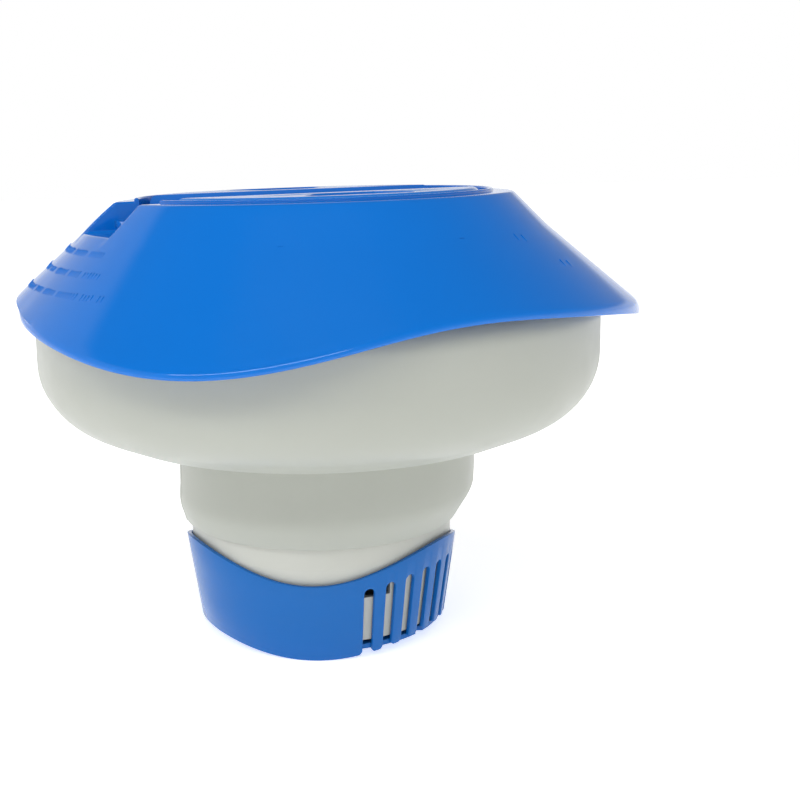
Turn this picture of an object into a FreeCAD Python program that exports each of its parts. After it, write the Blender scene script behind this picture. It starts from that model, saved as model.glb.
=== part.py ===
import FreeCAD, Part
import Sketcher
import math
import os
import re

# Floating chlorine dispenser. Millimetres, +Z up, origin on the axis at the foot of the flow collar.
# Bearings are measured from -Y (the front) towards +X.

Vector = FreeCAD.Vector
Z_AXIS = Vector(0, 0, 1)

SIZES = [
    # cover
    ("rim_radius", 83.0, "outer radius of the cover's flat rim"),
    ("rim_height", 186.5, "height of the rim"),
    ("skirt_radius", 129.6, "outer radius of the skirt at its mean edge height"),
    ("skirt_height", 139.0, "mean height of the skirt's wavy edge"),
    ("skirt_wave", 6.5, "amplitude of the three-lobed edge"),
    ("skirt_wave_second", 1.0, "amplitude of its second harmonic"),
    ("cover_wall", 2.4, "wall of the cover"),
    ("dish_radius", 73.0, "inner radius of the dish that holds the lid"),
    ("dish_height", 169.7, "top of the dish's floor"),
    ("lip_width", 2.0, "width of the raised lip round the dish"),
    ("lip_rise", 1.3, "height of that lip above the rim"),
    ("notch_width", 38.0, "width of the thumb notch in the rim"),
    ("notch_height", 174.5, "floor of the thumb notch"),
    ("rib_thickness", 2.0, "stiffening ribs under the skirt"),
    # float
    ("float_radius", 118.5, "largest radius of the float"),
    ("float_wall", 2.4, "wall of the float"),
    ("deck_height", 161.2, "top of the float's deck"),
    ("deck_radius", 72.0, "radius where the deck turns down"),
    ("shoulder_height", 144.0, "height of the float's upper corner"),
    ("belly_height", 102.0, "height of its lower corner"),
    ("keel_radius", 84.0, "radius where the belly runs in to the neck"),
    ("keel_height", 87.0, "height there"),
    ("root_height", 86.0, "height where the neck begins"),
    ("waist_height", 58.0, "height where the neck starts to step in"),
    ("screw_circle", 59.0, "radius of the circle of cover screws"),
    ("screw_hole", 2.2, "radius of the holes that the cover screws pass"),
    ("deck_hole", 52.0, "radius of the hole in the deck"),
    ("neck_radius", 64.6, "radius of the neck under the float"),
    ("step_radius", 59.6, "radius of the neck where it steps in"),
    ("step_height", 49.3, "height of that step"),
    ("foot_hole", 54.6, "radius of the hole in the foot of the float"),
    # throat and lid
    ("throat_radius", 51.6, "outer radius of the throat ring"),
    ("throat_bore", 45.8, "radius of the feed opening"),
    ("channel_radius", 49.2, "radius of the channel that the lid's lugs turn in"),
    ("flange_radius", 66.0, "radius of the throat ring's flange"),
    ("lid_radius", 69.5, "radius of the lid"),
    ("lid_bottom", 170.3, "underside of the lid's edge"),
    ("lid_top", 188.3, "top of the lid's pads"),
    ("groove_height", 175.3, "floor of the groove across the lid"),
    ("groove_width", 50.0, "width of the groove across the lid"),
    ("pocket_near", 37.0, "distance from the axis to a finger pocket's inner side"),
    ("pocket_far", 61.0, "distance from the axis to its outer side"),
    ("pocket_inner_width", 30.0, "width of a finger pocket at its inner side"),
    ("pocket_outer_width", 44.0, "width of a finger pocket at its outer side"),
    ("pocket_round", 6.0, "radius of a finger pocket's corners"),
    ("pocket_depth", 11.0, "depth of a finger pocket"),
    ("lid_wall", 2.4, "wall of the lid"),
    ("seal_section", 3.2, "thickness of the lid's O-ring"),
    # feed tube and basket
    ("tube_bore", 43.9, "inner radius of the feed tube"),
    ("tube_wall", 2.0, "wall of the feed tube"),
    ("basket_radius", 57.0, "outer radius of the basket at its top"),
    ("basket_top", 40.0, "height where the basket starts to taper"),
    ("basket_wall", 2.2, "wall of the basket"),
    ("basket_floor", 7.2, "underside of the basket's floor"),
    # collar
    ("collar_taper", 0.1414, "radius gained by the collar per unit of height"),
    ("collar_foot", 53.7, "outer radius of the collar at its foot"),
    ("collar_wall", 1.9, "wall of the collar"),
    ("collar_height", 38.9, "mean height of the collar's top edge"),
    ("collar_top_wave", 5.4, "amplitude of its top edge"),
    ("collar_foot_wave", 2.6, "amplitude of its foot edge"),
    ("collar_floor", 3.6, "underside of the collar's floor"),
    ("slot_width", 4.4, "width of a flow slot"),
    ("slot_height", 32.0, "mean height of the slots' rounded tops"),
    ("screw_radius", 3.0, "shank of the collar's shoulder screw"),
]

LOBES = 3
SKIRT_LOBE_BEARING = -24.0
SKIRT_SECOND_PHASE = 57.0
COLLAR_LOBE_BEARING = -4.0
NOTCH_BEARING = -67.0
LID_BEARING = -71.0
SLOTS_PER_GROUP = 7
SLOT_PITCH = 9.6
FIRST_SLOT_BEARING = 19.2
LUG_BEARINGS = (33.0, 153.0, 273.0)
COVER_SCREW_BEARINGS = tuple(63.0 + 60.0 * i for i in range(6))

doc = FreeCAD.newDocument("dispenser")
sheet = doc.addObject("Spreadsheet::Sheet", "Sizes")
for line, (alias, value, meaning) in enumerate(SIZES, start=1):
    sheet.set(f"A{line}", meaning)
    sheet.set(f"B{line}", str(value))
    sheet.setAlias(f"B{line}", alias)
doc.recompute()
size = {alias: value for alias, value, _ in SIZES}


def bound(formula):
    """A formula in the sheet's words, as FreeCAD reads it."""
    return re.sub(r"[a-z][a-z_]+", lambda word: "Sizes." + word.group(0), str(formula))


def worth(formula):
    """What such a formula comes to now."""
    return float(sheet.evalExpression(bound(formula)))


def turned(bearing, base=Vector(0, 0, 0)):
    """A placement turned about Z, so that local +X points along a bearing."""
    return FreeCAD.Placement(base, FreeCAD.Rotation(Z_AXIS, bearing - 90.0))


def plane_of(body, role):
    return next(item for item in body.Origin.OriginFeatures if item.Role == role)


def outline(body, name, role, corners):
    """A closed sketch of straight runs, each corner tied to the sheet by its two formulas."""
    sketch = body.newObject("Sketcher::SketchObject", name)
    sketch.AttachmentSupport = [(plane_of(body, role), "")]
    sketch.MapMode = "FlatFace"
    points = [Vector(worth(across), worth(up), 0) for across, up in corners]
    for i, point in enumerate(points):
        sketch.addGeometry(Part.LineSegment(point, points[(i + 1) % len(points)]), False)
    for i in range(len(points)):
        sketch.addConstraint(Sketcher.Constraint("Coincident", i, 2, (i + 1) % len(points), 1))
    for i, (across, up) in enumerate(corners):
        for kind, formula, now in (("DistanceX", across, points[i].x), ("DistanceY", up, points[i].y)):
            index = sketch.addConstraint(Sketcher.Constraint(kind, -1, 1, i, 1, now))
            sketch.setExpression(f"Constraints[{index}]", bound(formula))
    return sketch


def turned_body(label, corners):
    """A body revolved about Z from its half section, whose corners are (radius, height) formulas."""
    body = doc.addObject("PartDesign::Body", label)
    sketch = outline(body, label + "_section", "XZ_Plane", corners)
    turn = body.newObject("PartDesign::Revolution", label + "_turn")
    turn.Profile = sketch
    turn.ReferenceAxis = (sketch, ["V_Axis"])
    turn.Angle = 360
    doc.recompute()
    return body


def edges_at(shape, radius, height):
    """Names of the circular edges about Z of this radius at this height."""
    found = []
    for i, edge in enumerate(shape.Edges, start=1):
        box = edge.BoundBox
        flat = box.ZLength < 0.01 and abs(box.ZMin - height) < 0.05
        if flat and abs(box.XMax - radius) < 0.05 and abs(box.YMax - radius) < 0.05:
            found.append(f"Edge{i}")
    return found


def rounded(body, corners):
    """Fillets on a turned body, each given by its corner's (radius, height) formulas and its own radius."""
    for number, (across, up, fillet_radius) in enumerate(corners):
        base = body.Tip
        names = edges_at(base.Shape, worth(across), worth(up))
        if not names:
            raise RuntimeError(f"{body.Label}: no edge at {across}, {up}")
        fillet = body.newObject("PartDesign::Fillet", f"{body.Name}_round{number}")
        fillet.Base = (base, names)
        fillet.Radius = fillet_radius
        doc.recompute()
    return body


def box(label, across, along, up, placement=FreeCAD.Placement(), start="0", side="0", low="0"):
    """A block with its corner at (start, side, low) in the frame of its placement."""
    block = doc.addObject("Part::Box", label)
    for name, formula in (("Length", across), ("Width", along), ("Height", up)):
        block.setExpression(name, bound(formula))
    corner = Vector(worth(start), worth(side), worth(low))
    block.Placement = placement.multiply(FreeCAD.Placement(corner, FreeCAD.Rotation()))
    return block


def cylinder(label, radius, height, x=0.0, y=0.0, low="0"):
    piece = doc.addObject("Part::Cylinder", label)
    piece.setExpression("Radius", bound(radius))
    piece.setExpression("Height", bound(height))
    piece.Placement = FreeCAD.Placement(Vector(x, y, worth(low)), FreeCAD.Rotation())
    piece.setExpression("Placement.Base.z", bound(low))
    return piece


def on_circle(radius, bearing):
    angle = math.radians(bearing - 90.0)
    return radius * math.cos(angle), radius * math.sin(angle)


def joined(label, pieces):
    result = doc.addObject("Part::MultiFuse", label)
    result.Shapes = pieces
    doc.recompute()
    return result


def common(label, first, second):
    result = doc.addObject("Part::Common", label)
    result.Base = first
    result.Tool = second
    doc.recompute()
    return result


def less(label, base, tools):
    """The base with every tool taken away."""
    result = doc.addObject("Part::Cut", label)
    result.Base = base
    result.Tool = tools[0] if len(tools) == 1 else joined(label + "_tools", tools)
    doc.recompute()
    return result


def feature(label, shape):
    item = doc.addObject("Part::Feature", label)
    item.Shape = shape
    return item


def wave_prism(label, height_at, inner, outer, depth):
    """Everything between two radii that lies below (depth > 0) or above (depth < 0) a wavy ring."""
    edges = []
    for radius in (inner, outer):
        points = []
        for step in range(72):
            bearing = 5.0 * step
            x, y = on_circle(radius, bearing)
            points.append(Vector(x, y, height_at(bearing)))
        curve = Part.BSplineCurve()
        curve.interpolate(Points=points, PeriodicFlag=True)
        edges.append(curve.toShape())
    return feature(label, Part.makeRuledSurface(*edges).extrude(Vector(0, 0, -depth)))


def lobed(mean, amplitude, lobe_bearing, second=0.0, second_phase=0.0):
    """A three-lobed edge: its height at a bearing."""
    def height_at(bearing):
        turn = math.radians(LOBES * (bearing - lobe_bearing))
        return mean - amplitude * math.cos(turn) - second * math.cos(2 * turn - math.radians(second_phase))
    return height_at


# ---- float_body: the blow-moulded float and neck, a thin shell open at the deck and at the foot
CORNERS = {
    "deck": ("deck_radius", "deck_height"),
    "shoulder": ("float_radius", "shoulder_height"),
    "corner": ("float_radius", "belly_height"),
    "belly": ("keel_radius", "keel_height"),
    "root": ("neck_radius", "root_height"),
    "waist": ("neck_radius - 0.3", "waist_height"),
}
float_outer = turned_body("float_outer", [
    ("deck_hole", "deck_height"),
    CORNERS["deck"],
    CORNERS["shoulder"],
    CORNERS["corner"],
    CORNERS["belly"],
    CORNERS["root"],
    CORNERS["waist"],
    ("step_radius", "step_height"),
    ("foot_hole", "step_height"),
    ("foot_hole", "step_height + float_wall"),
    ("step_radius - float_wall", "step_height + float_wall"),
    ("neck_radius - 0.3 - float_wall", "waist_height + 0.4"),
    ("neck_radius - float_wall", "root_height + float_wall"),
    ("keel_radius", "keel_height + float_wall"),
    ("float_radius - float_wall", "belly_height + 1.5"),
    ("float_radius - float_wall", "shoulder_height - 1.5"),
    ("deck_radius", "deck_height - float_wall"),
    ("deck_hole", "deck_height - float_wall"),
])
rounded(float_outer, [
    (*CORNERS["deck"], 20),
    (*CORNERS["shoulder"], 12),
    (*CORNERS["corner"], 30),
    (*CORNERS["belly"], 25),
    (*CORNERS["root"], 3),
    (*CORNERS["waist"], 14),
    ("step_radius", "step_height", 1.2),
    ("deck_radius", "deck_height - float_wall", 17.6),
    ("float_radius - float_wall", "shoulder_height - 1.5", 9.6),
    ("float_radius - float_wall", "belly_height + 1.5", 27.6),
    ("keel_radius", "keel_height + float_wall", 22.6),
])
deck_bosses = []
deck_pilots = []
for number, bearing in enumerate(COVER_SCREW_BEARINGS):
    x, y = on_circle(size["screw_circle"], bearing)
    deck_bosses.append(cylinder(f"deck_boss{number}", "4.5", "12", x, y, "deck_height - 13"))
    deck_pilots.append(cylinder(f"deck_pilot{number}", "1.8", "20", x, y, "deck_height - 11"))
float_body = less("float_body", joined("float_with_bosses", [float_outer] + deck_bosses), deck_pilots)

# ---- top_cover: dished deck, conical skirt with a wavy edge, thumb notch and ribs
CONE = "(skirt_radius - rim_radius) / (rim_height - skirt_height)"
LOW_EDGE = "skirt_height - skirt_wave - 6"
HALF_WALL = "cover_wall * 1.4"
cover_turned = turned_body("cover_turned", [
    ("deck_hole", "dish_height"),
    ("dish_radius", "dish_height"),
    ("dish_radius", "rim_height + lip_rise"),
    ("dish_radius + lip_width", "rim_height + lip_rise"),
    ("dish_radius + lip_width", "rim_height"),
    ("rim_radius", "rim_height"),
    (f"rim_radius + (rim_height - ({LOW_EDGE})) * {CONE}", LOW_EDGE),
    (f"rim_radius + (rim_height - ({LOW_EDGE})) * {CONE} - {HALF_WALL}", LOW_EDGE),
    (f"rim_radius - {HALF_WALL} + cover_wall * {CONE}", "rim_height - cover_wall"),
    ("dish_radius + cover_wall", "rim_height - cover_wall"),
    ("dish_radius + cover_wall", "dish_height - cover_wall"),
    ("deck_hole", "dish_height - cover_wall"),
])
rounded(cover_turned, [("rim_radius", "rim_height", 2.5)])
cone_filled = turned_body("cone_filled", [
    ("0", "rim_height - 0.6"),
    ("rim_radius - 1.5", "rim_height - 0.6"),
    (f"rim_radius - 1 + (rim_height - ({LOW_EDGE})) * {CONE}", LOW_EDGE),
    ("0", LOW_EDGE),
])
notch_way = turned(NOTCH_BEARING)
tray_block = box("tray_block", "34", "notch_width + 2 * cover_wall",
                 "rim_height - notch_height + cover_wall - 0.6", notch_way,
                 "dish_radius + 0.5", "-notch_width / 2 - cover_wall", "notch_height - cover_wall")
cup_block = box("cup_block", "8.4", "21", "9.5", notch_way, "dish_radius + 3", "-10.5", "notch_height - 11")
rib_blocks = []
for number in range(9):
    rib_blocks.append(box(f"cover_rib{number}", "27", "rib_thickness", "9",
                          turned(NOTCH_BEARING + 40 * number + 20),
                          "dish_radius + 0.5", "-rib_thickness / 2", "rim_height - 14"))
trays = common("cover_trays", joined("cover_blocks", [tray_block, cup_block] + rib_blocks), cone_filled)
notch_cut = box("notch_cut", "40", "notch_width", "30", notch_way,
                "dish_radius - 1.5", "-notch_width / 2", "notch_height")
stem_cut = box("stem_cut", "4.4", "17", "20", notch_way, "dish_radius + 5", "-8.5", "notch_height - 9.5")
skirt_edge = lobed(size["skirt_height"], size["skirt_wave"], SKIRT_LOBE_BEARING,
                   size["skirt_wave_second"], SKIRT_SECOND_PHASE)
skirt_cut = wave_prism("skirt_cut", skirt_edge, 104.0, 160.0, 60.0)
cover_holes = []
for number, bearing in enumerate(COVER_SCREW_BEARINGS):
    x, y = on_circle(size["screw_circle"], bearing)
    cover_holes.append(cylinder(f"cover_hole{number}", "screw_hole", "12", x, y, "dish_height - 6"))
top_cover = less("top_cover", joined("cover_whole", [cover_turned, trays]),
                 [notch_cut, stem_cut, skirt_cut] + cover_holes)

# ---- throat_ring: feed opening with the bayonet channel, clamped between the cover and the float
throat_turned = turned_body("throat_turned", [
    ("throat_bore", "dish_height - 0.1"),
    ("throat_bore", "deck_height + 2.4"),
    ("channel_radius", "deck_height + 2.4"),
    ("channel_radius", "deck_height - 4"),
    ("tube_bore + tube_wall + 0.05", "deck_height - 4"),
    ("tube_bore + tube_wall + 0.05", "deck_height - 7"),
    ("throat_radius", "deck_height - 7"),
    ("throat_radius", "deck_height + 1.8"),
    ("flange_radius", "deck_height + 1.8"),
    ("flange_radius", "dish_height - cover_wall - 0.05"),
    ("throat_radius", "dish_height - cover_wall - 0.05"),
    ("throat_radius", "dish_height - 0.1"),
])
throat_cuts = []
for number, bearing in enumerate(LUG_BEARINGS):
    throat_cuts.append(box(f"lug_gap{number}", "6", "24", "12", turned(bearing),
                           "channel_radius - 6", "-12", "deck_height"))
channel_column = cylinder("channel_column", "channel_radius", "20", low="deck_height - 2")
lug_gaps = common("lug_gaps", joined("lug_gap_blocks", throat_cuts), channel_column)
throat_holes = []
for number, bearing in enumerate(COVER_SCREW_BEARINGS):
    x, y = on_circle(size["screw_circle"], bearing)
    throat_holes.append(cylinder(f"throat_hole{number}", "screw_hole", "14", x, y, "deck_height"))
throat_ring = less("throat_ring", throat_turned, [lug_gaps] + throat_holes)

# ---- throat_gasket: flat rubber ring that keeps the float's air in
gasket_turned = turned_body("gasket_turned", [
    ("throat_radius + 0.6", "deck_height + 0.02"),
    ("flange_radius", "deck_height + 0.02"),
    ("flange_radius", "deck_height + 1.78"),
    ("throat_radius + 0.6", "deck_height + 1.78"),
])
gasket_holes = []
for number, bearing in enumerate(COVER_SCREW_BEARINGS):
    x, y = on_circle(size["screw_circle"], bearing)
    gasket_holes.append(cylinder(f"gasket_hole{number}", "screw_hole", "8", x, y, "deck_height - 2"))
throat_gasket = less("throat_gasket", gasket_turned, gasket_holes)

# ---- cover_screws: six pan-head screws through cover, flange and gasket into the deck's bosses
screws = []
for number, bearing in enumerate(COVER_SCREW_BEARINGS):
    x, y = on_circle(size["screw_circle"], bearing)
    shank = cylinder(f"screw_shank{number}", "1.75", "18", x, y, "dish_height - 17.9")
    head = cylinder(f"screw_head{number}", "3.6", "2", x, y, "dish_height + 0.02")
    drive = cylinder(f"screw_drive{number}", "1.4", "2", x, y, "dish_height + 0.9")
    screws.append(less(f"cover_screw{number}", joined(f"screw{number}", [shank, head]), [drive]))
cover_screws = doc.addObject("Part::Compound", "cover_screws")
cover_screws.Links = screws

# ---- feed_tube: the tube that the tablets stack in
feed_tube = turned_body("feed_tube", [
    ("tube_bore", "basket_top + 2.7"),
    ("tube_bore + tube_wall", "basket_top + 2.7"),
    ("tube_bore + tube_wall", "deck_height - 4.1"),
    ("tube_bore", "deck_height - 4.1"),
])

# ---- tablet_basket: the windowed foot, with a web that closes the float and carries the feed tube
BASKET_IN = "basket_radius - basket_wall"
AT_FLOOR = "(basket_top - basket_floor) * collar_taper"
basket_turned = turned_body("basket_turned", [
    ("screw_radius + 0.08", "basket_floor"),
    (f"basket_radius - {AT_FLOOR}", "basket_floor"),
    ("basket_radius", "basket_top"),
    ("basket_radius", "step_height - 0.05"),
    ("foot_hole - 0.1", "step_height - 0.05"),
    ("foot_hole - 0.1", "step_height + 9"),
    ("foot_hole - 2.1", "step_height + 9"),
    ("foot_hole - 2.1", "basket_top + 2.4"),
    ("tube_bore + tube_wall + 2.1", "basket_top + 2.4"),
    ("tube_bore + tube_wall + 2.1", "basket_top + 12"),
    ("tube_bore + tube_wall + 0.05", "basket_top + 12"),
    ("tube_bore + tube_wall + 0.05", "basket_top + 2.6"),
    ("tube_bore", "basket_top + 2.6"),
    ("tube_bore", "basket_top"),
    (BASKET_IN, "basket_top"),
    (f"{BASKET_IN} - {AT_FLOOR}", "basket_floor + 2.2"),
    ("screw_radius + 0.08", "basket_floor + 2.2"),
])
basket_cuts = []
for number in range(8):
    way = turned(22.0 + 45.0 * number)
    basket_cuts.append(box(f"upper_window{number}", "14", "15", "7.5", way,
                           "45", "-7.5", "basket_top - 13.5"))
for number in range(4):
    way = turned(90.0 * number)
    basket_cuts.append(box(f"lower_window{number}", "16", "12", "10", way,
                           "43", "-6", "basket_floor + 3.6"))
for number in range(6):
    basket_cuts.append(box(f"floor_slot{number}", "22", "9", "4", turned(20.0 + 60.0 * number),
                           "17", "-4.5", "basket_floor - 1"))
grate_post_ring = turned_body("grate_post_ring", [
    ("41", "basket_floor + 2"),
    ("43", "basket_floor + 2"),
    ("43", "basket_floor + 7.6"),
    ("41", "basket_floor + 7.6"),
])
post_gaps = []
for number in range(6):
    post_gaps.append(box(f"post_gap{number}", "12", "34", "12", turned(20.0 + 60.0 * number),
                         "36", "-17", "basket_floor + 2.2"))
grate_posts = less("grate_posts", grate_post_ring, post_gaps)
tablet_basket = less("tablet_basket", joined("basket_whole", [basket_turned, grate_posts]), basket_cuts)

# ---- tablet_grate: the slotted disc that the tablets stand on
grate_disc = cylinder("grate_disc", "46.5", "2.4", low="basket_floor + 7.7")
grate_rim = less("grate_rim", cylinder("grate_rim_outer", "46.5", "5", low="basket_floor + 7.7"),
                 [cylinder("grate_rim_inner", "44.7", "8", low="basket_floor + 6.7")])
grate_slots = []
for number in range(-4, 5):
    half = math.sqrt(41.0 ** 2 - (9.0 * number) ** 2)
    grate_slots.append(box(f"grate_slot{number + 4}", f"{2 * half}", "5", "8",
                           FreeCAD.Placement(), f"{-half}", f"{9.0 * number - 2.5}", "basket_floor + 5"))
grate_bar = box("grate_bar", "6", "84", "2.4", FreeCAD.Placement(), "-3", "-42", "basket_floor + 7.7")
grate_field = less("grate_field", joined("grate_blank", [grate_disc, grate_rim]), grate_slots)
tablet_grate = joined("tablet_grate", [grate_field, grate_bar])

# ---- ballast_ring: the weight in the foot of the float
ballast_ring = turned_body("ballast_ring", [
    ("tube_bore + tube_wall + 2.4", "basket_top + 2.5"),
    ("foot_hole - 2.4", "basket_top + 2.5"),
    ("foot_hole - 2.4", "basket_top + 17"),
    ("tube_bore + tube_wall + 2.4", "basket_top + 17"),
])

# ---- flow_collar: the turning sleeve with two groups of slots
TALL = "collar_height + collar_top_wave + 3"
collar_turned = turned_body("collar_turned", [
    ("0", "0"),
    ("11", "0"),
    ("11", "collar_floor"),
    ("collar_foot + collar_floor * collar_taper - 1", "collar_floor"),
    ("collar_foot - collar_wall", "0"),
    ("collar_foot", "0"),
    (f"collar_foot + ({TALL}) * collar_taper", TALL),
    (f"collar_foot + ({TALL}) * collar_taper - collar_wall", TALL),
    ("collar_foot + (collar_floor + 2) * collar_taper - collar_wall", "collar_floor + 2"),
    ("0", "collar_floor + 2"),
])
collar_top_cut = wave_prism("collar_top_cut", lobed(size["collar_height"], size["collar_top_wave"],
                                                    COLLAR_LOBE_BEARING), 40.0, 75.0, -30.0)
collar_foot_cut = wave_prism("collar_foot_cut", lobed(size["collar_foot_wave"], size["collar_foot_wave"],
                                                      COLLAR_LOBE_BEARING), 49.5, 75.0, 30.0)
slot_top = lobed(size["slot_height"], size["collar_top_wave"] / 2, COLLAR_LOBE_BEARING)
slot_cuts = []
for group in range(2):
    for number in range(SLOTS_PER_GROUP):
        bearing = FIRST_SLOT_BEARING + SLOT_PITCH * number + 180.0 * group
        top = slot_top(bearing) - size["slot_width"] / 2
        name = f"{group}_{number}"
        shaft = box(f"slot_shaft{name}", "14", "slot_width", f"{top} + 5", turned(bearing),
                    "collar_foot - 1.5", "-slot_width / 2", "-5")
        crown = doc.addObject("Part::Cylinder", f"slot_crown{name}")
        crown.setExpression("Radius", bound("slot_width / 2"))
        crown.Height = 14
        lying = FreeCAD.Placement(Vector(size["collar_foot"] - 1.5, 0, top),
                                  FreeCAD.Rotation(Vector(0, 1, 0), 90))
        crown.Placement = turned(bearing).multiply(lying)
        slot_cuts += [shaft, crown]
drain_holes = []
for number in range(6):
    x, y = on_circle(33.0, 20.0 + 60.0 * number)
    drain_holes.append(cylinder(f"drain_hole{number}", "5", "8", x, y, "collar_floor - 3"))
boss_hole = cylinder("boss_hole", "screw_radius", "20", low="1.6")
flow_collar = less("flow_collar", collar_turned,
                   [collar_top_cut, collar_foot_cut, boss_hole] + slot_cuts + drain_holes)

# ---- collar_washer and collar_screw: the pivot that the collar turns on
WASHER = "basket_floor + 2.3"
washer_disc = cylinder("washer_disc", "8", "1", low=WASHER)
collar_washer = less("collar_washer", washer_disc,
                     [cylinder("washer_hole", "screw_radius + 0.02", "4", low=f"{WASHER} - 1")])
collar_shank = cylinder("collar_shank", "screw_radius - 0.01", "basket_floor + 1.4", low="2")
collar_head = cylinder("collar_head", "5.5", "2.8", low=f"{WASHER} + 1.02")
collar_drive = box("collar_drive", "12", "1.4", "3", FreeCAD.Placement(), "-6", "-0.7", f"{WASHER} + 2.6")
collar_screw = less("collar_screw", joined("collar_screw_blank", [collar_shank, collar_head]),
                    [collar_drive])

# ---- lid: two raised pads with finger pockets, a groove between them, a plug with bayonet lugs
UNDER = "lid_bottom + 2.9"
PLUG_FOOT = "deck_height - 1"
lid_disc = turned_body("lid_disc", [
    ("0", UNDER),
    ("throat_bore - 3", UNDER),
    ("throat_bore - 3", PLUG_FOOT),
    ("throat_bore - 0.5", PLUG_FOOT),
    ("throat_bore - 0.5", UNDER),
    ("lid_radius - lid_wall", UNDER),
    ("lid_radius - lid_wall", "lid_bottom"),
    ("lid_radius", "lid_bottom"),
    ("lid_radius", "groove_height"),
    ("0", "groove_height"),
])
pad_round = turned_body("pad_round", [
    ("0", "groove_height - 0.5"),
    ("lid_radius", "groove_height - 0.5"),
    ("lid_radius", "lid_top"),
    ("0", "lid_top"),
])
rounded(pad_round, [("lid_radius", "lid_top", 3.2)])
lid_way = turned(LID_BEARING)
groove_cut = box("groove_cut", "160", "groove_width", "20", lid_way,
                 "-80", "-groove_width / 2", "groove_height - 0.6")
pads = less("lid_pads", pad_round, [groove_cut])


def pocket(label, side, grow, floor, height):
    """A finger pocket's space: a rounded trapezium, wider outwards, grown by a wall all round."""
    corner = size["pocket_round"]
    near = size["pocket_near"] + corner
    far = size["pocket_far"] - corner
    inner = size["pocket_inner_width"] / 2 - corner
    outer = size["pocket_outer_width"] / 2 - corner
    plan = [(-inner, near), (inner, near), (outer, far), (-outer, far)]
    corners = [Vector(across, side * out, 0) for across, out in plan]
    face = Part.Face(Part.makePolygon(corners + corners[:1])).makeOffset2D(corner + grow)
    space = feature(label, face.extrude(Vector(0, 0, height)))
    space.Placement = lid_way.multiply(FreeCAD.Placement(Vector(0, 0, worth(floor)), FreeCAD.Rotation()))
    return space


pad_hollows = []
for side in (-1, 1):
    name = "far" if side < 0 else "near"
    cavity_round = cylinder(f"{name}_cavity_round", "lid_radius - 3.4",
                            "lid_top - lid_bottom - 5.3", low=UNDER)
    cavity_side = box(f"{name}_cavity_side", "160", "80", "20", lid_way, "-80",
                      f"{side * (size['groove_width'] / 2 + 2.4 + 40) - 40}", f"{UNDER} - 2")
    wall = pocket(f"{name}_pocket_wall", side, 2.2, "lid_top - pocket_depth - 2.2", 18)
    plug_outer = cylinder(f"{name}_plug_outer", "throat_bore - 0.5", "3", low=f"{UNDER} - 1")
    plug_inner = cylinder(f"{name}_plug_inner", "throat_bore - 3", "5", low=f"{UNDER} - 2")
    plug_wall = less(f"{name}_plug_wall", plug_outer, [plug_inner])
    cavity = common(f"{name}_cavity_blank", cavity_round, cavity_side)
    seat_outer = cylinder(f"{name}_seat_outer", "throat_bore + 5", "2.4", low=f"{UNDER} - 1")
    seat_inner = cylinder(f"{name}_seat_inner", "throat_bore - 3.2", "5", low=f"{UNDER} - 2")
    seat = less(f"{name}_seat", seat_outer, [seat_inner])
    pad_hollows.append(less(f"{name}_cavity", cavity, [wall, plug_wall, seat]))
pockets = [pocket("far_pocket", -1, 0.0, "lid_top - pocket_depth", 20),
           pocket("near_pocket", 1, 0.0, "lid_top - pocket_depth", 20)]
lugs = []
for number, bearing in enumerate(LUG_BEARINGS):
    lugs.append(box(f"lid_lug{number}", "channel_radius - throat_bore + 2", "19", "2.6", turned(bearing),
                    "throat_bore - 2.4", "-9.5", PLUG_FOOT))
lug_band = less("lug_band", cylinder("lug_band_outer", "channel_radius - 0.4", "6", low="deck_height - 2"),
                [cylinder("lug_band_inner", "throat_bore - 2.8", "10", low="deck_height - 4")])
lid_lugs = common("lid_lugs", joined("lid_lug_blocks", lugs), lug_band)
lid = less("lid", joined("lid_blank", [lid_disc, pads, lid_lugs]), pad_hollows + pockets)

# ---- lid_seal: the O-ring under the lid, round its plug
lid_seal = doc.addObject("Part::Torus", "lid_seal")
lid_seal.setExpression("Radius1", bound("throat_bore + 1.7"))
lid_seal.setExpression("Radius2", bound("seal_section / 2"))
SEAL_HEIGHT = "dish_height + seal_section / 2 + 0.02"
lid_seal.Placement = FreeCAD.Placement(Vector(0, 0, worth(SEAL_HEIGHT)), FreeCAD.Rotation())
lid_seal.setExpression("Placement.Base.z", bound(SEAL_HEIGHT))

# ---- lock_button and lock_spring: the press catch in the thumb notch
button_cap = box("button_cap", "7", "20", "3", notch_way,
                 "dish_radius + 3.7", "-10", "notch_height + 2")
button_stem = box("button_stem", "4", "16.6", "7.6", notch_way,
                  "dish_radius + 5.2", "-8.3", "notch_height - 5.2")
button_grooves = []
for number in range(3):
    button_grooves.append(box(f"button_groove{number}", "1", "24", "2", notch_way,
                              f"dish_radius + {5.0 + 2.0 * number}", "-12", "notch_height + 4.4"))
lock_button = less("lock_button", joined("button_blank", [button_cap, button_stem]), button_grooves)
SPRING_TURNS = 4
spring_low = worth("notch_height - 9.2")
spring_rise = 3.2
wire_radius = 0.3
coil_radius = 1.5
helix = Part.makeHelix(spring_rise / SPRING_TURNS, spring_rise, coil_radius)
wire_ring = Part.Wire([Part.makeCircle(wire_radius, Vector(coil_radius, 0, 0), Vector(0, 1, 0))])
coil = Part.Wire(helix.Edges).makePipeShell([wire_ring], True, True)
lock_spring = feature("lock_spring", coil)
spring_x, spring_y = on_circle(size["dish_radius"] + 7.2, NOTCH_BEARING)
spring_foot = Vector(spring_x, spring_y, spring_low + wire_radius)
lock_spring.Placement = FreeCAD.Placement(spring_foot, FreeCAD.Rotation())

PARTS = [float_body, top_cover, throat_ring, throat_gasket, cover_screws, feed_tube, tablet_basket,
         tablet_grate, ballast_ring, flow_collar, collar_washer, collar_screw, lid, lid_seal,
         lock_button, lock_spring]

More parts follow.
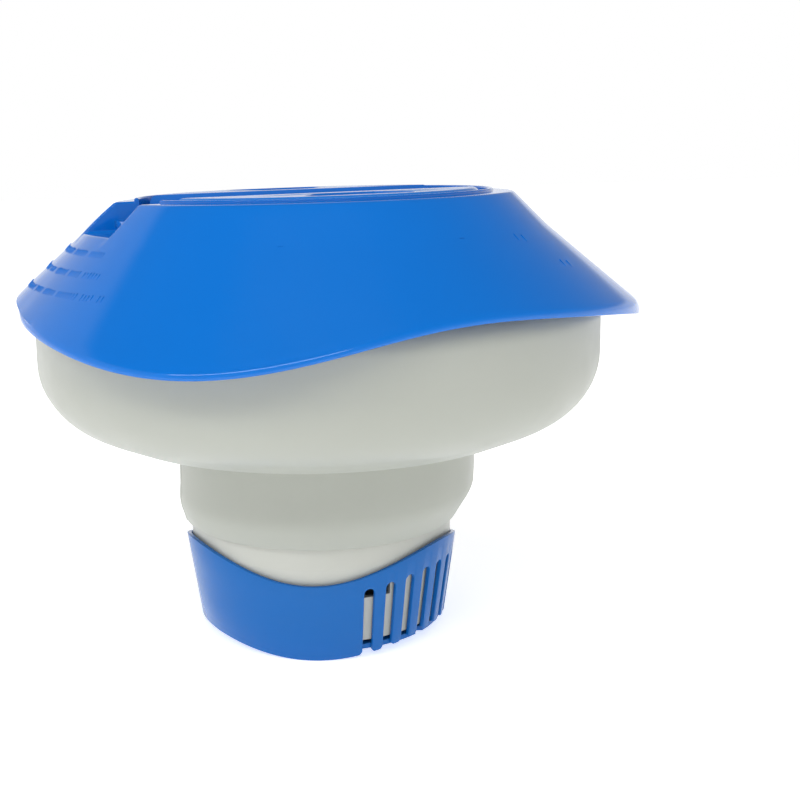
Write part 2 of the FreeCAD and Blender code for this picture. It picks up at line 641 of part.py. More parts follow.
doc.recompute()
for item in doc.Objects:
    if "Invalid" in item.State or "Error" in item.State:
        raise RuntimeError(f"{item.Label} is not built: {item.State}")
os.makedirs("parts", exist_ok=True)
for item in PARTS:
    shape = item.Shape
    if shape.isNull() or not shape.isValid():
        raise RuntimeError(f"{item.Label} has no valid shape")
    shape.exportStep(f"parts/{item.Label}.step")
    print(f"{item.Label}: {len(shape.Solids)} solid(s), {shape.Volume:.0f} mm3")
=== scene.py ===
"""Looks of the floating chlorine dispenser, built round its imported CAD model.

Shapes are worked out in millimetres and written to the meshes in metres.
Bearings are measured from -Y (the front) towards +X.
"""
import math

import bmesh
import bpy
import numpy as np
from mathutils import Matrix, Vector


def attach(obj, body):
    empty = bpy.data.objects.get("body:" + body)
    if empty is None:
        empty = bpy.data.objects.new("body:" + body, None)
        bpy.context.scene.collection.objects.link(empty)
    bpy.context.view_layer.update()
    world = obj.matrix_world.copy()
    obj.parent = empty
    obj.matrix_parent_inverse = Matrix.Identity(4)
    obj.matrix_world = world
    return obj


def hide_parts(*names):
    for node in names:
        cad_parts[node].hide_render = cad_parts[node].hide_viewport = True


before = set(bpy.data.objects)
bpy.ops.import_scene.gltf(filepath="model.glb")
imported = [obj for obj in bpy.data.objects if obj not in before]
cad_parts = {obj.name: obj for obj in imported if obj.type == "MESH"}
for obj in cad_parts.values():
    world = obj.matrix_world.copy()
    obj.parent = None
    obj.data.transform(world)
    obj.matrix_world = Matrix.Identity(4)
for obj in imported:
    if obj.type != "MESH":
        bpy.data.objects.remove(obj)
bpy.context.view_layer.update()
MM = 0.001


# ---- materials

def srgb(red, green, blue):
    """A colour given in 8-bit sRGB, as the linear values that a shader takes."""
    def linear(value):
        share = value / 255.0
        return share / 12.92 if share <= 0.04045 else ((share + 0.055) / 1.055) ** 2.4
    return linear(red), linear(green), linear(blue), 1.0


def plastic(name, colour, tint, roughness, grain=0.0, grain_size=900.0, specular=0.5, coat=0.0):
    """A moulded plastic: a colour that drifts slightly to a tint, uneven gloss and a fine grain."""
    material = bpy.data.materials.new(name)
    material.use_nodes = True
    nodes, links = material.node_tree.nodes, material.node_tree.links
    shader = nodes["Principled BSDF"]
    shader.inputs["IOR"].default_value = 1.5
    shader.inputs["Specular IOR Level"].default_value = specular
    shader.inputs["Coat Weight"].default_value = coat
    shader.inputs["Coat Roughness"].default_value = 0.08
    place = nodes.new("ShaderNodeTexCoord")

    def noise(scale, detail):
        texture = nodes.new("ShaderNodeTexNoise")
        texture.inputs["Scale"].default_value = scale
        texture.inputs["Detail"].default_value = detail
        links.new(place.outputs["Object"], texture.inputs["Vector"])
        return texture

    drift = noise(14.0, 3.0)
    blend = nodes.new("ShaderNodeMix")
    blend.data_type = "RGBA"
    blend.inputs[6].default_value = colour
    blend.inputs[7].default_value = tint
    links.new(drift.outputs["Fac"], blend.inputs["Factor"])
    links.new(blend.outputs[2], shader.inputs["Base Color"])
    cloud = noise(60.0, 4.0)
    gloss = nodes.new("ShaderNodeMapRange")
    gloss.inputs["From Min"].default_value = 0.3
    gloss.inputs["From Max"].default_value = 0.7
    gloss.inputs["To Min"].default_value = roughness * 0.85
    gloss.inputs["To Max"].default_value = roughness * 1.2
    links.new(cloud.outputs["Fac"], gloss.inputs["Value"])
    links.new(gloss.outputs["Result"], shader.inputs["Roughness"])
    if grain:
        fine = noise(grain_size, 5.0)
        bump = nodes.new("ShaderNodeBump")
        bump.inputs["Strength"].default_value = grain
        bump.inputs["Distance"].default_value = 0.0002
        links.new(fine.outputs["Fac"], bump.inputs["Height"])
        links.new(bump.outputs["Normal"], shader.inputs["Normal"])
    return material


def dress(piece, material):
    piece.data.materials.clear()
    piece.data.materials.append(material)
    for face in piece.data.polygons:
        face.material_index = 0


BLUE = plastic("cover_blue_plastic", srgb(6, 113, 207), srgb(3, 109, 202), 0.1, grain=0.02, specular=0.45)
# Painted shade: the collar's blue is a darker copy of the cover's plastic, darkened to stand in for shade on
# its upright wall.
COLLAR_BLUE_PAINTED_SHADE = plastic("collar_blue_plastic_painted_shade", srgb(16, 102, 180), srgb(12, 98, 176), 0.22,
                      grain=0.05, specular=0.25)
# Painted shade: the float's white is greyed well below a white plastic's colour, to stand in for the shade
# the float sits in.
WHITE = plastic("float_white_plastic_painted_shade", srgb(175, 178, 170), srgb(171, 174, 165), 0.36,
                grain=0.03, specular=0.35)
INNER_WHITE = plastic("inner_white_plastic", srgb(196, 197, 190), srgb(188, 190, 182), 0.42, grain=0.08)
# Painted light: the lid's blue is a lighter copy of the cover's plastic, brightened to stand in for the light
# and sheen on the lid's top.
LID_BLUE_PAINTED_LIGHT = plastic("lid_blue_plastic_painted_light", srgb(26, 124, 216), srgb(20, 118, 211), 0.16, grain=0.02, specular=0.4)
RUBBER = plastic("seal_rubber", srgb(34, 34, 36), srgb(44, 44, 46), 0.6, grain=0.25, grain_size=1500.0)


def metal(name, colour, tint, roughness, scratches, coat=0.0):
    """Turned or drawn steel: a slightly uneven tone with fine scratches that run one way."""
    material = plastic(name, colour, tint, roughness, coat=coat)
    nodes, links = material.node_tree.nodes, material.node_tree.links
    shader = nodes["Principled BSDF"]
    shader.inputs["Metallic"].default_value = 1.0
    stretch = nodes.new("ShaderNodeMapping")
    stretch.inputs["Scale"].default_value = (scratches, scratches, scratches * 12)
    place = nodes.new("ShaderNodeTexCoord")
    links.new(place.outputs["Object"], stretch.inputs["Vector"])
    lines = nodes.new("ShaderNodeTexNoise")
    lines.inputs["Scale"].default_value = 1.0
    lines.inputs["Detail"].default_value = 4.0
    links.new(stretch.outputs["Vector"], lines.inputs["Vector"])
    bump = nodes.new("ShaderNodeBump")
    bump.inputs["Strength"].default_value = 0.12
    bump.inputs["Distance"].default_value = 0.0001
    links.new(lines.outputs["Fac"], bump.inputs["Height"])
    links.new(bump.outputs["Normal"], shader.inputs["Normal"])
    return material


STEEL = metal("screw_steel", srgb(196, 198, 200), srgb(178, 180, 184), 0.2, 400.0)
IRON = metal("ballast_iron", srgb(84, 84, 88), srgb(66, 66, 70), 0.55, 120.0, coat=0.2)
NODE_MATERIALS = {
    "top_cover": BLUE, "lid": LID_BLUE_PAINTED_LIGHT, "lock_button": BLUE, "flow_collar": COLLAR_BLUE_PAINTED_SHADE, "float_body": WHITE,
    "throat_ring": INNER_WHITE, "feed_tube": INNER_WHITE, "tablet_basket": INNER_WHITE,
    "tablet_grate": INNER_WHITE, "throat_gasket": RUBBER, "lid_seal": RUBBER, "cover_screws": STEEL,
    "collar_screw": STEEL, "collar_washer": STEEL, "lock_spring": STEEL, "ballast_ring": IRON,
}
for name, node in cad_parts.items():
    dress(node, NODE_MATERIALS[name])


# ---- mesh helpers

def rounded_path(corners, closed=False, step=math.radians(12)):
    """Points along the straight runs between (x, y, radius) corners, each corner turned as an arc."""
    points = []
    count = len(corners)
    for index, (x, y, radius) in enumerate(corners):
        here = Vector((x, y))
        if radius <= 0 or (not closed and index in (0, count - 1)):
            points.append(tuple(here))
            continue
        back = (Vector(corners[index - 1][:2]) - here).normalized()
        on = (Vector(corners[(index + 1) % count][:2]) - here).normalized()
        half = back.angle(on) / 2
        reach = radius / math.tan(half)
        centre = here + (back + on).normalized() * radius / math.sin(half)
        first, last = here + back * reach - centre, here + on * reach - centre
        turn = math.atan2(first.x * last.y - first.y * last.x, first.dot(last))
        parts = max(2, math.ceil(abs(turn) / step))
        for part in range(parts + 1):
            angle = turn * part / parts
            points.append((centre.x + first.x * math.cos(angle) - first.y * math.sin(angle),
                           centre.y + first.x * math.sin(angle) + first.y * math.cos(angle)))
    return points


def around(radius, bearing, height):
    """Points at a radius, bearing and height, any of them an array."""
    radius, bearing, height = np.broadcast_arrays(radius, bearing, height)
    return np.stack([radius * np.sin(bearing), -radius * np.cos(bearing), height], axis=-1)


def grid_faces(rows, columns, loop_rows, loop_columns, skip=None):
    """Quads over a grid of points numbered row by row."""
    faces = []
    for row in range(rows if loop_rows else rows - 1):
        for column in range(columns if loop_columns else columns - 1):
            if skip and skip(row, column):
                continue
            row_on, column_on = (row + 1) % rows, (column + 1) % columns
            faces.append((row * columns + column, row * columns + column_on,
                          row_on * columns + column_on, row_on * columns + column))
    return faces


class Shells:
    """Gathers closed shells, in millimetres, and makes one mesh object of them."""

    def __init__(self):
        self.points = []
        self.faces = []

    def add(self, points, faces):
        base = len(self.points)
        self.points += [tuple(point) for point in np.asarray(points, float).reshape(-1, 3) * MM]
        self.faces += [tuple(base + index for index in face) for face in faces]

    def grid(self, points, loop_rows=True, loop_columns=True):
        rows, columns = points.shape[:2]
        self.add(points, grid_faces(rows, columns, loop_rows, loop_columns))

    def prism(self, outline, low, high, place):
        """An outline of (a, b) points between two offsets; place turns (a, b, offset) arrays into points."""
        a, b = (np.array(side, float) for side in zip(*outline))
        count = len(outline)
        ends = [place(a, b, np.full(count, float(offset))) for offset in (low, high)]
        faces = [tuple(range(count))[::-1], tuple(range(count, 2 * count))]
        faces += [(i, (i + 1) % count, count + (i + 1) % count, count + i) for i in range(count)]
        self.add(np.concatenate(ends), faces)

    def piece(self, name, body, material, node=None, bevel=0.0, sharp=38.0):
        mesh = bpy.data.meshes.new(name)
        mesh.from_pydata(self.points, [], self.faces)
        return finished(name, mesh, body, material, node, bevel, sharp)


def finished(name, mesh, body, material, node=None, bevel=0.0, sharp=38.0):
    """Welds and smooths a mesh, bevels its sharp edges, and puts it on a body in place of a CAD node."""
    build = bmesh.new()
    build.from_mesh(mesh)
    bmesh.ops.remove_doubles(build, verts=build.verts, dist=0.003 * MM)
    bmesh.ops.dissolve_degenerate(build, edges=build.edges, dist=0.002 * MM)
    bmesh.ops.recalc_face_normals(build, faces=build.faces)
    if bevel:
        crisp = [edge for edge in build.edges if len(edge.link_faces) == 2
                 and edge.calc_face_angle() > math.radians(sharp)]
        bmesh.ops.bevel(build, geom=crisp, offset=bevel * MM, offset_type="OFFSET", segments=2,
                        profile=0.5, affect="EDGES", clamp_overlap=True)
    build.to_mesh(mesh)
    build.free()
    mesh.shade_smooth()
    mesh.set_sharp_from_angle(angle=math.radians(sharp))
    item = bpy.data.objects.new(name, mesh)
    bpy.context.scene.collection.objects.link(item)
    dress(item, material)
    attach(item, body)
    if node:
        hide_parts(node)
    return item


def softened(node, body, material, width, sharp=30.0):
    """A copy of a CAD node's mesh with its edges broken by a small bevel."""
    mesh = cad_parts[node].data.copy()
    build = bmesh.new()
    build.from_mesh(mesh)
    bmesh.ops.remove_doubles(build, verts=build.verts, dist=0.004 * MM)
    bmesh.ops.dissolve_limit(build, angle_limit=math.radians(1.0), verts=build.verts, edges=build.edges)
    build.to_mesh(mesh)
    build.free()
    if mesh.attributes.get("custom_normal"):
        mesh.attributes.remove(mesh.attributes["custom_normal"])
    return finished(node + "_soft", mesh, body, material, node, width, sharp)


# ---- cover

RIM_RADIUS, RIM_HEIGHT = 83.0, 186.5
SKIRT_SLOPE = (129.6 - RIM_RADIUS) / (RIM_HEIGHT - 139.0)
DISH_RADIUS, DISH_HEIGHT, DECK_HOLE = 73.0, 169.7, 52.0
LIP_HEIGHT = RIM_HEIGHT + 1.3
COVER_WALL = 2.4
SKIRT_WALL = COVER_WALL * 1.4
NOTCH_BEARING = math.radians(-67.0)
NOTCH_HALF, NOTCH_FLOOR = 19.0, 174.5
NOTCH_END = 97.0
LOW_LOBE = math.radians(-24.0)


def skirt_edge(bearing):
    """Height of the skirt's wavy edge, three lobes round the cover."""
    turn = 3 * (bearing - LOW_LOBE)
    return 139.0 - 6.5 * np.cos(turn) - np.cos(2 * turn - math.radians(57.0))


def crest(bearing):
    """1 at the high lobe of the edge under the notch, where its lip is tallest, and 0 away from it."""
    share = np.clip((-np.cos(3 * (bearing - LOW_LOBE)) - 0.7) / 0.3, 0, 1) * (np.sin(bearing) < 0)
    return share * share * (3 - 2 * share)


def cone_radius(height):
    return RIM_RADIUS + (RIM_HEIGHT - height) * SKIRT_SLOPE


def cone_height(radius):
    return RIM_HEIGHT - (radius - RIM_RADIUS) / SKIRT_SLOPE


def notch_columns(radius, high, low, half):
    """Offsets and heights across half the notch, from its middle to the top of its side wall."""
    room = high - low
    foot, top = 1.0, 0.9
    share = min(1.0, room / (foot + top))
    foot, top = foot * share, top * share
    across = [v * (half - foot) for v in np.linspace(0, 1, 6)[:-1]]
    height = [low] * len(across)
    for angle in np.linspace(0, math.pi / 2, 5):
        across.append(half - foot + foot * math.sin(angle))
        height.append(low + foot - foot * math.cos(angle))
    for angle in np.linspace(0, math.pi / 2, 5):
        across.append(half + top - top * math.cos(angle))
        height.append(high - top + top * math.sin(angle))
    return np.arcsin(np.array(across) / radius), np.array(height)


def cover_row(radius, high, low=None, half=NOTCH_HALF, columns=230):
    """Bearings and heights of one ring of the cover, cut by the notch where low is under high."""
    low = high if low is None else low
    turn, height = notch_columns(radius, high, low, half)
    rest = np.linspace(turn[-1], math.pi, columns)[1:]
    turn = np.concatenate([turn, rest])
    height = np.concatenate([height, np.full(len(rest), high)])
    bearing = NOTCH_BEARING + np.concatenate([turn, -turn[-2:0:-1]])
    return bearing, np.concatenate([height, height[-2:0:-1]])


def soft_least(first, second, room=0.5):
    return 0.5 * (first + second - math.hypot(first - second, room))


def flank(bearing, middle, reach):
    """1 at a bearing in degrees, fading to 0 on both sides of it."""
    away = (np.degrees(bearing) - middle + 180) % 360 - 180
    return np.exp(-(away / reach) ** 2)


def skirt_rise(bearing):
    """The sizes of the skirt's rounded edge, and the radius and height where its cone ends."""
    right = flank(bearing, 95.0, 34.0)
    lip = 1.9 + 1.3 * crest(bearing) + 2.8 * right + 1.3 * flank(bearing, -92.0, 24.0)
    turn_in = 1.5 - 1.1 * crest(bearing) + 2.3 * right
    corner_radius = cone_radius(skirt_edge(bearing) + 0.3) + 1.9 * right
    lean = math.hypot(SKIRT_SLOPE, 1)
    top_radius = corner_radius - turn_in * SKIRT_SLOPE / lean
    return lip, turn_in, corner_radius, top_radius, skirt_edge(bearing) + lip + turn_in / lean


def skirt_swell(bearing, radius):
    """How far the skirt's outer face stands proud of its cone, round the notch's side."""
    depth = np.clip((radius - RIM_RADIUS) / (133.0 - RIM_RADIUS), 0, 1)
    return 3.1 * (1 - (2 * depth - 1) ** 4) * flank(bearing, -97.0, 28.0)


def skirt_radius(bearing, height):
    """Radius of the skirt's outer face."""
    _, _, _, top_radius, top_height = skirt_rise(bearing)
    start = cone_height(NOTCH_END)
    share = (start - height) / (start - top_height)
    radius = NOTCH_END + (top_radius - NOTCH_END) * share
    return radius + skirt_swell(bearing, radius)


def cover():
    rings = []
    inside = rounded_path([
        (DECK_HOLE, DISH_HEIGHT - COVER_WALL, 0), (DECK_HOLE, DISH_HEIGHT, 0.6),
        (DISH_RADIUS, DISH_HEIGHT, 1.5), (DISH_RADIUS, NOTCH_FLOOR, 0), (DISH_RADIUS, LIP_HEIGHT, 0.7),
        (DISH_RADIUS + 2, LIP_HEIGHT, 0.6), (DISH_RADIUS + 2, RIM_HEIGHT, 0.35),
        (RIM_RADIUS, RIM_HEIGHT, 2.5), (NOTCH_END, cone_height(NOTCH_END), 0),
    ])[:-1]
    down_cone = (87.5, 90.5, 93.0, 94.0, 94.7, 95.4, 96.1, NOTCH_END)
    inside += [(radius, cone_height(radius)) for radius in down_cone]
    for radius, height in inside:
        cut = height > NOTCH_FLOOR or radius > 86
        low = soft_least(NOTCH_FLOOR, height) if radius > 86 else NOTCH_FLOOR
        bearing, heights = cover_row(radius, height, min(low, height) if cut else None)
        rings.append(around(radius + skirt_swell(bearing, radius), bearing, heights))
    start = cone_height(NOTCH_END)
    bearing = cover_row(112.0, start)[0]
    edge = skirt_edge(bearing)
    lip, turn_in, corner_radius, top_radius, top_height = skirt_rise(bearing)
    corner_height = edge + lip
    lean = math.hypot(SKIRT_SLOPE, 1)
    for share in np.linspace(0, 1, 13)[1:]:
        height = start + (top_height - start) * share
        radius = NOTCH_END + (top_radius - NOTCH_END) * share
        rings.append(around(radius + skirt_swell(bearing, radius), bearing, height))
    for share in (0.2, 0.4, 0.6, 0.8, 1.0):
        before, after = (1 - share) ** 2 * turn_in, share ** 2 * turn_in
        rings.append(around(corner_radius - before * SKIRT_SLOPE / lean - 0.08 * after, bearing,
                            corner_height + before / lean - after))
    foot_radius = corner_radius - 0.08 * lip
    for inwards, up in ((0, 0.5), (0.12, 0.18), (0.45, 0), (1.45, 0), (1.78, 0.18), (1.9, 0.5)):
        rings.append(around(foot_radius - inwards, bearing, edge + up))
    inner_low = cone_radius(edge + 2.2) - SKIRT_WALL
    rings.append(around(np.minimum(inner_low, foot_radius - 1.9), bearing, edge + 2.2))
    for share in np.linspace(0, 1, 10)[1:]:
        height = edge + 2.2 + (171.0 - edge - 2.2) * share
        rings.append(around(cone_radius(height) - SKIRT_WALL, bearing, height))
    under, ceiling = NOTCH_FLOOR - COVER_WALL, RIM_HEIGHT - COVER_WALL
    back = [(cone_radius(height) - SKIRT_WALL, height) for height in (under, 175.5, 179.0, 182.0, ceiling)]
    back += [(DISH_RADIUS + COVER_WALL, ceiling), (DISH_RADIUS + COVER_WALL, under),
             (DISH_RADIUS + COVER_WALL, DISH_HEIGHT - COVER_WALL)]
    for radius, height in back:
        bearing, heights = cover_row(radius, height, min(under, height), NOTCH_HALF + COVER_WALL)
        rings.append(around(radius, bearing, heights))
    shells = Shells()
    shells.grid(np.array(rings))
    for number in range(9):
        bearing = NOTCH_BEARING + math.radians(40 * number + 20)
        outline = [(DISH_RADIUS + COVER_WALL - 0.4, 172.5), (97.0, 172.5)]
        outline += [(cone_radius(height) - SKIRT_WALL + 0.4, height) for height in (173.6, RIM_HEIGHT - 2.1)]
        outline += [(DISH_RADIUS + COVER_WALL - 0.4, RIM_HEIGHT - 2.1)]
        shells.prism(outline, -1.0, 1.0, lambda a, b, offset, turn=bearing: around(
            np.hypot(a, offset), turn + np.arctan2(offset, a), b))
    skirt = shells.piece("cover_shell", "float", BLUE, "top_cover")


def relief_marks():
    """Low moulded marks on the skirt: three rows of plain ticks by the notch, and four at its right."""
    draw = np.random.default_rng(4)
    shells = Shells()

    def tick(bearing, height, wide, tall, rise):
        centre = around(skirt_radius(bearing, height), bearing, height)
        east = np.array([math.cos(bearing), math.sin(bearing), 0.0])
        lean = math.hypot(SKIRT_SLOPE, 1)
        out = np.array([math.sin(bearing), -math.cos(bearing), 0.0])
        down = (out * SKIRT_SLOPE + np.array([0, 0, -1.0])) / lean
        normal = np.cross(east, down)
        normal = normal if normal[2] > 0 else -normal
        points = []
        for level, shrink in ((-0.3, 1.0), (rise * 0.55, 1.0), (rise, 0.62)):
            for side, end in ((-1, -1), (1, -1), (1, 1), (-1, 1)):
                points.append(centre + east * side * wide * shrink / 2
                              + down * end * (tall / 2 - wide * (1 - shrink) / 2) + normal * level)
        faces = grid_faces(3, 4, False, True) + [(3, 2, 1, 0), (8, 9, 10, 11)]
        shells.add(points, faces)

    for row, (first, last) in enumerate(((-88.0, -52.0), (-88.0, -47.0), (-86.0, -41.0))):
        height = 168.5 - 7.0 * row
        bearing = first
        step = math.degrees(2.1 / cone_radius(height))
        left_in_word = draw.integers(4, 9)
        while bearing < last:
            if left_in_word:
                tick(math.radians(bearing), height, 0.75, 2.4 + 1.0 * draw.random(), 0.2)
                left_in_word -= 1
            else:
                left_in_word = draw.integers(4, 9)
            bearing += step
    for bearing, height in ((50.0, 171.0), (52.5, 170.4), (58.5, 160.5), (61.0, 159.9)):
        tick(math.radians(bearing), height, 1.1, 3.4, 0.25)
    marks = shells.piece("cover_relief_marks", "float", BLUE, sharp=60)


# ---- float

NECK_LEAN = 3.0


def float_shell():
    """The blow-moulded shell. Its neck bulges to one side, and a parting line runs down its flanks."""
    wall = 2.4
    section = rounded_path([
        (52.0, 161.2, 0.3), (72.0, 161.2, 20), (118.5, 144.0, 12), (118.5, 102.0, 30), (84.0, 87.0, 25),
        (64.6, 86.0, 1.2), (64.5, 72.0, 0), (64.4, 60.0, 18), (59.6, 49.3, 1.2), (54.6, 49.3, 0.3),
        (54.6, 49.3 + wall, 0.3), (59.6 - wall, 49.3 + wall, 0.4), (64.3 - wall, 58.4, 11.6),
        (64.5 - wall, 72.0, 0), (64.6 - wall, 86.0 + wall, 1.0), (84.0, 87.0 + wall, 22.6),
        (118.5 - wall, 103.5, 27.6), (118.5 - wall, 142.5, 9.6),
        (72.0, 161.2 - wall, 17.6), (52.0, 161.2 - wall, 0.3),
    ], closed=True, step=math.radians(6))
    bearing = np.linspace(0, 2 * math.pi, 721)[:-1]
    parting = np.zeros_like(bearing)
    for seam in (-75.0, 105.0):
        away = (np.degrees(bearing) - seam + 180) % 360 - 180
        parting += 0.28 * np.exp(-(away / 0.35) ** 2)
    rings = []
    for radius, height in section:
        sway = 0.10 * np.sin(2 * bearing + height / 23) + 0.07 * np.sin(5 * bearing - height / 11)
        ring = around(radius + (parting + sway if radius > 58 else 0), bearing, height)
        share = min(1.0, max(0.0, (height - 50) / 17)) * min(1.0, max(0.0, (78 - radius) / 12))
        ring[:, 0] += NECK_LEAN * share * share * (3 - 2 * share)
        rings.append(ring)
    shells = Shells()
    shells.grid(np.array(rings))
    shell = shells.piece("float_shell", "float", WHITE, "float_body")


# ---- flow collar

COLLAR_LOBE = math.radians(-4.0)
COLLAR_FOOT, COLLAR_TAPER = 53.7, 0.1414
COLLAR_WALL, SLOT_HALF = 1.9, 2.2
SLOT_SPRING, SLOT_SPRING_WAVE = 32.0, 2.7
FOOT_ROUND = 1.3
FIRST_SLOT, SLOT_PITCH, SLOT_COUNT = 19.2, 9.6, 7


def collar_wave(mean, amplitude, bearing):
    return mean - amplitude * np.cos(3 * (bearing - COLLAR_LOBE))


def collar():
    slots = [math.radians(FIRST_SLOT + SLOT_PITCH * number + 180.0 * group)
             for group in range(2) for number in range(SLOT_COUNT)]
    columns = []
    for index, middle in enumerate(slots):
        radius = COLLAR_FOOT + COLLAR_TAPER * 20
        half = math.asin(SLOT_HALF / radius)
        for share in np.linspace(-1, 1, 11):
            columns.append((middle + half * math.sin(share * math.pi / 2), middle))
        end = slots[(index + 1) % len(slots)] + (2 * math.pi if index == len(slots) - 1 else 0)
        gap = end - middle - 2 * half
        parts = max(8, int(math.degrees(gap) / 1.2))
        for part in range(1, parts):
            columns.append((middle + half + gap * part / parts, None))
    bearing = np.array([column[0] for column in columns])
    foot = collar_wave(2.6, 2.6, bearing)
    spring = collar_wave(SLOT_SPRING, SLOT_SPRING_WAVE, bearing) - SLOT_HALF
    top = collar_wave(38.9, 5.4, bearing)
    for index, (turn, middle) in enumerate(columns):
        if middle is not None:
            across = (COLLAR_FOOT + COLLAR_TAPER * 20) * math.sin(turn - middle)
            spring[index] = (collar_wave(SLOT_SPRING, SLOT_SPRING_WAVE, middle) - SLOT_HALF
                             + math.sqrt(max(0.0, SLOT_HALF ** 2 - across ** 2)))
    for index in range(len(columns)):
        nearest = min(abs((bearing[index] - middle + math.pi) % (2 * math.pi) - math.pi) for middle in slots)
        into_bar = nearest * 54.0 - SLOT_HALF
        if into_bar < FOOT_ROUND:
            rise = FOOT_ROUND ** 2 - (FOOT_ROUND - max(into_bar, 0)) ** 2
            foot[index] += FOOT_ROUND - math.sqrt(max(0.0, rise))
    heights = [foot, foot + (spring - foot) * 0.5, spring, top]
    count = len(columns)
    outer = np.array([around(COLLAR_FOOT + COLLAR_TAPER * height, bearing, height) for height in heights])
    inner = np.array([around(COLLAR_FOOT + COLLAR_TAPER * height - COLLAR_WALL, bearing, height)
                      for height in heights])
    open_cell = [columns[i][1] is not None and columns[(i + 1) % count][1] == columns[i][1]
                 for i in range(count)]
    faces = []
    for side in (0, 1):
        base = side * 4 * count
        for face in grid_faces(4, count, False, True, lambda row, column: row < 2 and open_cell[column]):
            faces.append(tuple(base + index for index in face))
    for i in range(count):
        j = (i + 1) % count
        low = 2 if open_cell[i] else 0
        for row in (low, 3):
            faces.append((row * count + i, row * count + j, (4 + row) * count + j, (4 + row) * count + i))
        if open_cell[i] != open_cell[i - 1]:
            for row in (0, 1):
                faces.append((row * count + i, (row + 1) * count + i,
                              (5 + row) * count + i, (4 + row) * count + i))
    shells = Shells()
    shells.add(np.concatenate([outer.reshape(-1, 3), inner.reshape(-1, 3)]), faces)
    sleeve = shells.piece("collar_sleeve", "collar", COLLAR_BLUE_PAINTED_SHADE, "flow_collar", bevel=0.3)


def collar_plate():
    """The collar's floor: a disc with a boss in the middle and six drain holes, inside the sleeve."""
    shells = Shells()
    rim = COLLAR_FOOT + COLLAR_TAPER * 3.6 - COLLAR_WALL + 0.5
    hole_circle, hole_radius, boss, shank = 33.0, 5.0, 11.0, 3.0
    sector = math.pi / 6
    turn = np.linspace(0, 2 * math.pi, 49)[:-1]
    for number in range(6):
        middle = math.radians(20.0 + 60.0 * number)
        corner_near, corner_far = 11.0, rim
        outline = []
        for angle in turn:
            across, along = math.sin(angle), math.cos(angle)
            low, high = 0.0, 80.0
            for _ in range(40):
                reach = (low + high) / 2
                x, y = reach * across, hole_circle + reach * along
                inside = corner_near < math.hypot(x, y) < corner_far and abs(math.atan2(x, y)) < sector
                low, high = (reach, high) if inside else (low, reach)
            outline.append((low * across, hole_circle + low * along))
        hole = [(hole_radius * math.sin(angle), hole_circle + hole_radius * math.cos(angle))
                for angle in turn]
        rings = []
        for outline_points, height in ((hole, 3.9), (hole, 5.3), (None, 5.6), (outline, 5.6),
                                       (outline, 3.6), (None, 3.6)):
            if outline_points is None:
                outline_points = [((hole_radius + 0.3) * math.sin(angle),
                                   hole_circle + (hole_radius + 0.3) * math.cos(angle)) for angle in turn]
            x = np.array([point[0] for point in outline_points])
            y = np.array([point[1] for point in outline_points])
            rings.append(around(np.hypot(x, y), middle + np.arctan2(x, y), height))
        shells.grid(np.array(rings))
    section = rounded_path([(shank, 2.0, 0), (shank, 5.6, 0.3), (boss + 0.2, 5.6, 0), (boss + 0.2, 3.6, 0),
                            (boss, 3.2, 0), (boss, 0.0, 0.8), (0.01, 0.0, 0), (0.01, 2.0, 0)], closed=True)
    bearing = np.linspace(0, 2 * math.pi, 97)[:-1]
    shells.grid(np.array([around(radius, bearing, height) for radius, height in section]))
    plate = shells.piece("collar_plate", "collar", COLLAR_BLUE_PAINTED_SHADE)


cover()
relief_marks()
float_shell()
collar()
collar_plate()
for node, body, material, width in (("lid", "lid", LID_BLUE_PAINTED_LIGHT, 0.45), ("lock_button", "button", BLUE, 0.3)):
    softened(node, body, material, width)


# ---- floor, light and camera

def area_light(name, place, target, width, height, power, glossy=True):
    data = bpy.data.lights.new(name, "AREA")
    data.shape = "RECTANGLE"
    data.size, data.size_y = width, height
    data.energy = power
    lamp = bpy.data.objects.new(name, data)
    lamp.location = place
    lamp.rotation_mode = "QUATERNION"
    lamp.rotation_quaternion = (Vector(target) - Vector(place)).to_track_quat("-Z", "Y")
    bpy.context.scene.collection.objects.link(lamp)
    lamp.visible_glossy = glossy


def value_by_distance(material, near, far, near_value, far_value):
    """A value that goes from one to another with the distance from the axis of the object it is put on."""
    nodes, links = material.node_tree.nodes, material.node_tree.links
    place = nodes.new("ShaderNodeTexCoord")
    length = nodes.new("ShaderNodeVectorMath")
    length.operation = "LENGTH"
    links.new(place.outputs["Object"], length.inputs[0])
    span = nodes.new("ShaderNodeMapRange")
    span.inputs["From Min"].default_value = near
    span.inputs["From Max"].default_value = far
    span.inputs["To Min"].default_value = near_value
    span.inputs["To Max"].default_value = far_value
    links.new(length.outputs["Value"], span.inputs["Value"])
    return span.outputs["Result"]


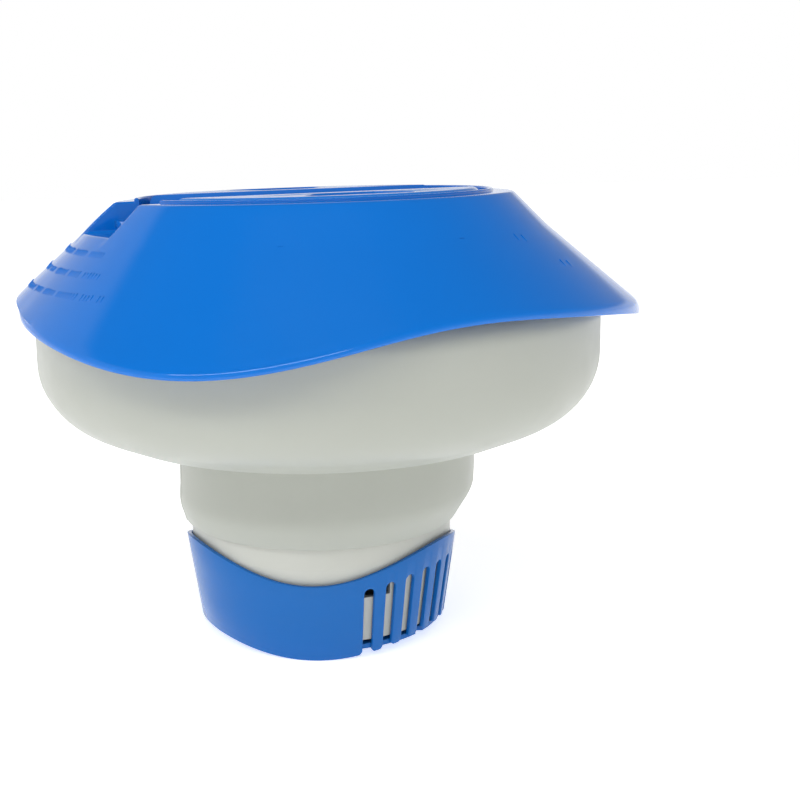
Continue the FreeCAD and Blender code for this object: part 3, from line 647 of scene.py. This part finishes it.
def studio():
    world = bpy.data.worlds.new("studio")
    bpy.context.scene.world = world
    world.use_nodes = True
    nodes, links = world.node_tree.nodes, world.node_tree.links
    background = nodes["Background"]
    place = nodes.new("ShaderNodeTexCoord")
    split = nodes.new("ShaderNodeSeparateXYZ")
    links.new(place.outputs["Generated"], split.inputs["Vector"])

    def sky(stops):
        gradient = nodes.new("ShaderNodeValToRGB")
        ramp = gradient.color_ramp
        for index, (rise, light) in enumerate(stops):
            element = ramp.elements[index] if index < 2 else ramp.elements.new(rise)
            element.position = rise
            element.color = (light, light, light, 1.0)
        links.new(split.outputs["Z"], gradient.inputs["Fac"])
        return gradient.outputs["Color"]

    def blend(first, second, axis, low, high):
        span = nodes.new("ShaderNodeMapRange")
        span.interpolation_type = "SMOOTHSTEP"
        span.inputs["From Min"].default_value = low
        span.inputs["From Max"].default_value = high
        links.new(split.outputs[axis], span.inputs["Value"])
        mix = nodes.new("ShaderNodeMix")
        mix.data_type = "RGBA"
        links.new(span.outputs["Result"], mix.inputs["Factor"])
        links.new(first, mix.inputs[6])
        links.new(second, mix.inputs[7])
        return mix.outputs[2]

    left = sky([(0.15, 1.0), (0.26, 0.68), (0.63, 0.54), (0.68, 0.14)])
    right = sky([(0.125, 1.0), (0.19, 0.42), (0.5, 0.24), (0.80, 0.16)])
    front = sky([(0.0, 0.6), (0.25, 0.5), (0.5, 0.35), (0.8, 0.16)])
    back = blend(left, right, "X", -0.15, 0.25)
    links.new(blend(front, back, "Y", -0.75, -0.35), background.inputs["Color"])
    background.inputs["Strength"].default_value = 1.0
    mesh = bpy.data.meshes.new("floor")
    reach = 6.0
    corners = [(-reach, -reach, 0), (reach, -reach, 0), (reach, reach, 0), (-reach, reach, 0)]
    mesh.from_pydata(corners, [], [(0, 1, 2, 3)])
    floor = bpy.data.objects.new("floor", mesh)
    bpy.context.scene.collection.objects.link(floor)
    pale = bpy.data.materials.new("floor_pale")
    pale.use_nodes = True
    shader = pale.node_tree.nodes["Principled BSDF"]
    shader.inputs["Base Color"].default_value = (0.9, 0.9, 0.9, 1.0)
    shader.inputs["Roughness"].default_value = 0.9
    shader.inputs["Specular IOR Level"].default_value = 0.1
    shader.inputs["Emission Color"].default_value = (1.0, 1.0, 1.0, 1.0)
    glow = value_by_distance(pale, 0.35, 1.6, 0.64, 1.0)
    pale.node_tree.links.new(glow, shader.inputs["Emission Strength"])
    floor.data.materials.append(pale)
    area_light("strip", (-0.35, -1.3, 1.3), (0, 0, 0.14), 2.2, 0.25, 10.0)
    area_light("key", (-0.05, -0.5, 1.5), (0, 0, 0.15), 1.0, 0.9, 8.0, glossy=False)
    area_light("left_fill", (-1.5, -0.2, 1.0), (0, 0, 0.12), 0.8, 0.8, 3.4, glossy=False)
    area_light("right_fill", (1.5, -0.3, 1.1), (0, 0, 0.12), 0.8, 0.8, 1.6, glossy=False)


def camera():
    yaw, pitch, roll = -0.0326, 0.2036, -0.0312
    forward = Vector((math.sin(yaw) * math.cos(pitch), math.cos(yaw) * math.cos(pitch), -math.sin(pitch)))
    level = Vector((math.cos(yaw), -math.sin(yaw), 0.0))
    upright = level.cross(forward)
    right = math.cos(roll) * level + math.sin(roll) * upright
    up = -math.sin(roll) * level + math.cos(roll) * upright
    data = bpy.data.cameras.new("camera")
    data.lens = 54.0
    data.sensor_width = 36.0
    data.shift_x = 0.1504
    data.shift_y = 0.0030
    data.clip_start, data.clip_end = 0.01, 50.0
    item = bpy.data.objects.new("camera", data)
    turn = Matrix((right, up, -forward)).transposed().to_4x4()
    item.matrix_world = Matrix.Translation((0.0, -0.514, 0.2037)) @ turn
    bpy.context.scene.collection.objects.link(item)
    bpy.context.scene.camera = item


studio()
camera()
bpy.context.scene.view_settings.view_transform = "Standard"
